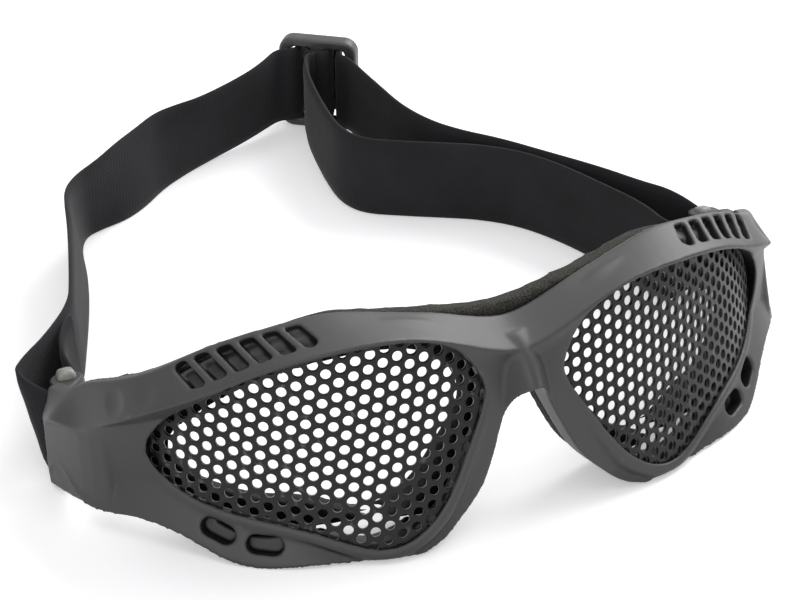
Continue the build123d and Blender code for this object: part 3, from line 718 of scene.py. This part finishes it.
def drawn(places):
    """Evenly spaced places of the smooth line that the strap follows, with both its edges."""
    dense = []
    for index in range(1, len(places) - 1):
        middle = places[index]
        first = places[0] if index == 1 else (places[index - 1] + middle) / 2
        final = places[-1] if index == len(places) - 2 else (middle + places[index + 1]) / 2
        for step in range(CURVE_STEPS):
            t = step / CURVE_STEPS
            dense.append(first * (1 - t) ** 2 + middle * (2 * t * (1 - t)) + final * t * t)
    dense.append(places[-1])
    lengths = [0.0]
    for a, b in zip(dense, dense[1:]):
        lengths.append(lengths[-1] + (b - a).length / math.sqrt(2))
    count = round(lengths[-1] / STRAP_STEP)
    made, at = [], 0
    for index in range(count + 1):
        goal = lengths[-1] * index / count
        while at < len(lengths) - 2 and lengths[at + 1] < goal:
            at += 1
        share = (goal - lengths[at]) / max(lengths[at + 1] - lengths[at], 1e-9)
        share = min(max(share, 0), 1)
        made.append(dense[at] * (1 - share) + dense[at + 1] * share)
    return made


def webbing_band(name, places, closed=False):
    """A flat band through places, with rounded selvedges and its weave mapped in metres."""
    line = [Vector((p[0] + p[3], p[1] + p[4], p[2] + p[5])) / 2 for p in places]
    spans = [Vector((p[3] - p[0], p[4] - p[1], p[5] - p[2])) for p in places]
    count = len(line)
    across = 10
    selvedge = STRAP_THICK * SELVEDGE
    ring = [(-0.5 + k / across, 1) for k in range(across + 1)] + [(0.5, 0.0)]
    ring += [(0.5 - k / across, -1) for k in range(across + 1)] + [(-0.5, 0.0)]
    vertices, faces, lengths = [], [], [0.0]
    for a, b in zip(line, line[1:] + line[:1]):
        lengths.append(lengths[-1] + (b - a).length)
    for index, here in enumerate(line):
        before = line[index - 1] if closed or index else here
        after = line[(index + 1) % count] if closed or index < count - 1 else here
        along = (after - before).normalized()
        wide = spans[index].length
        up = spans[index].normalized()
        side = along.cross(up).normalized()
        for share, face in ring:
            rim = max(0.0, abs(share) * wide - (wide / 2 - selvedge)) / selvedge
            swell = STRAP_THICK / 2 * (1 + SWELL * math.cos(share * 2 * math.pi * SWELLS))
            depth = face * swell * math.sqrt(max(0.0, 1 - ROUNDING * rim * rim))
            reach = share * wide
            if not face:
                reach = math.copysign(wide / 2 + STRAP_THICK * BULGE, share)
            vertices.append(here + up * reach + side * depth)
    size = len(ring)
    for index in range(count if closed else count - 1):
        a, b = index * size, (index + 1) % count * size
        for k in range(size):
            n = (k + 1) % size
            faces.append((a + k, a + n, b + n, b + k))
    if not closed:
        faces.append(tuple(range(size - 1, -1, -1)))
        faces.append(tuple((count - 1) * size + k for k in range(size)))
    band = mesh_object(name, vertices, faces, webbing)
    spread = band.data.uv_layers.new(name="weave")
    for polygon in band.data.polygons:
        for loop_index, vertex in zip(polygon.loop_indices, polygon.vertices):
            index, k = divmod(vertex, size)
            reach = lengths[index]
            if closed and polygon.index >= (count - 1) * size and index == 0:
                reach = lengths[count]
            spread.data[loop_index].uv = (reach, ring[k][0] * spans[index].length)
    maker = bmesh.new()
    maker.from_mesh(band.data)
    bmesh.ops.recalc_face_normals(maker, faces=maker.faces)
    maker.to_mesh(band.data)
    maker.free()
    return band


far_places = [
    held(-67.4, -11.6, 0.5, -0.6, 1.8), held(-71.6, -19.2, 0.5, -2.2, 3.0),
    at_pin(-1, 2.8, 1.6), at_pin(-1, 2.4, -2.3), at_pin(-1, -2.4, -2.3),
    Vector((-82.3, -32.9, 0.7, -84.9, -25.0, 20.6)) / 1000,
    Vector((-78.6, -26.2, 0.4, -81.2, -19.6, 20.2)) / 1000,
    held(-73.0, -17.6, 0.3, -2.0, 3.0), held(-66.2, -6.2, 0.2, -0.5, 1.2),
    held(-62.4, 3.6, 0.2, -1.4, 0.0), held(-57.0, 18.0, 0.2, -2.4, 0.0),
    held(-52.8, 31.0, 0.2, -3.0, 0.0), held(-50.6, 43.0, 0.2, -2.8, -2.2),
    held(-47.2, 51.6, 0.2, -1.6, -4.6), held(-41.8, 53.8, 0.2, -0.4, -2.8),
    held(-35.4, 55.2, 0.2, 0.2, 2.0), held(-28.9, 59.2, 0.2, 0.4, 3.2),
    held(-22.2, 65.4, 0.2, 0.4, 2.2), held(-15.5, 69.6, 0.2, 0.2, -0.4),
    held(-9.1, 73.0, 0.2, 0.6, -2.4), held(3.4, 77.6, 0.9, 0.8, -2.2),
    held(10.8, 80.2, 1.9, 0.6, -1.6), on_slider(-10.2, 4.0), on_slider(-5.8, 3.2),
    on_slider(-5.2, 0.0), on_slider(-4.8, -4.6), on_slider(-2.0, -5.2), on_slider(0.0, -5.2),
]
near_places = [
    on_slider(0.0, -5.2), on_slider(2.0, -5.2), on_slider(4.8, -4.6), on_slider(5.2, 0.0),
    on_slider(5.6, 3.2, 2.2), on_slider(8.5, 3.5, 1.8),
    held(32.8, 63.5, 1.2), held(33.4, 55.0, 0.9), held(34.0, 44.5, 0.6), held(36.8, 34.6, 0.4),
    held(41.5, 27.0), held(48.3, 19.0), held(54.4, 9.4), held(62.6, -3.2), held(67.6, -13.0),
    held(71.6, -22.4, 0.6, 0.4, 1.6),
    at_pin(1, 2.8, 1.2), at_pin(1, 2.4, -2.3), at_pin(1, -2.4, -2.3),
    Vector((69.6, -33.4, 2.6, 69.6, -30.4, 19.2)) / 1000,
    held(63.0, -33.6, 0.3, 0.0, 0.6), held(62.9, -22.0), held(58.9, -9.8), held(55.2, 1.0),
    held(50.0, 10.9), held(42.6, 18.2), held(34.3, 23.2), held(26.2, 28.1), held(18.6, 33.0),
    held(16.0, 39.6), held(16.2, 47.0, 0.3), held(17.6, 58.5, 0.9), held(19.6, 69.4, 1.8),
    on_slider(-2.6, 4.6), on_slider(0.0, 4.2),
]
far_band = webbing_band("strap_far_run", drawn(far_places))
near_band = webbing_band("strap_near_run", drawn(near_places))

# The inner layer's end is turned round the slider's bar and sewn
TURN_STEPS, TURN_SQUARENESS, TURN_HALF_WIDE, TURN_HALF_DEEP = 24, 0.6, 3.05, 3.4
turn_places = []
for k in range(TURN_STEPS):
    angle = 2 * math.pi * k / TURN_STEPS
    along = math.copysign(abs(math.cos(angle)) ** TURN_SQUARENESS, math.cos(angle))
    out = math.copysign(abs(math.sin(angle)) ** TURN_SQUARENESS, math.sin(angle))
    turn_places.append(on_slider(along * TURN_HALF_WIDE, out * TURN_HALF_DEEP))
turn_band = webbing_band("strap_bar_turn", turn_places, closed=True)

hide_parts("strap")
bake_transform(far_band)
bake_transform(near_band)
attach(turn_band, "slider")
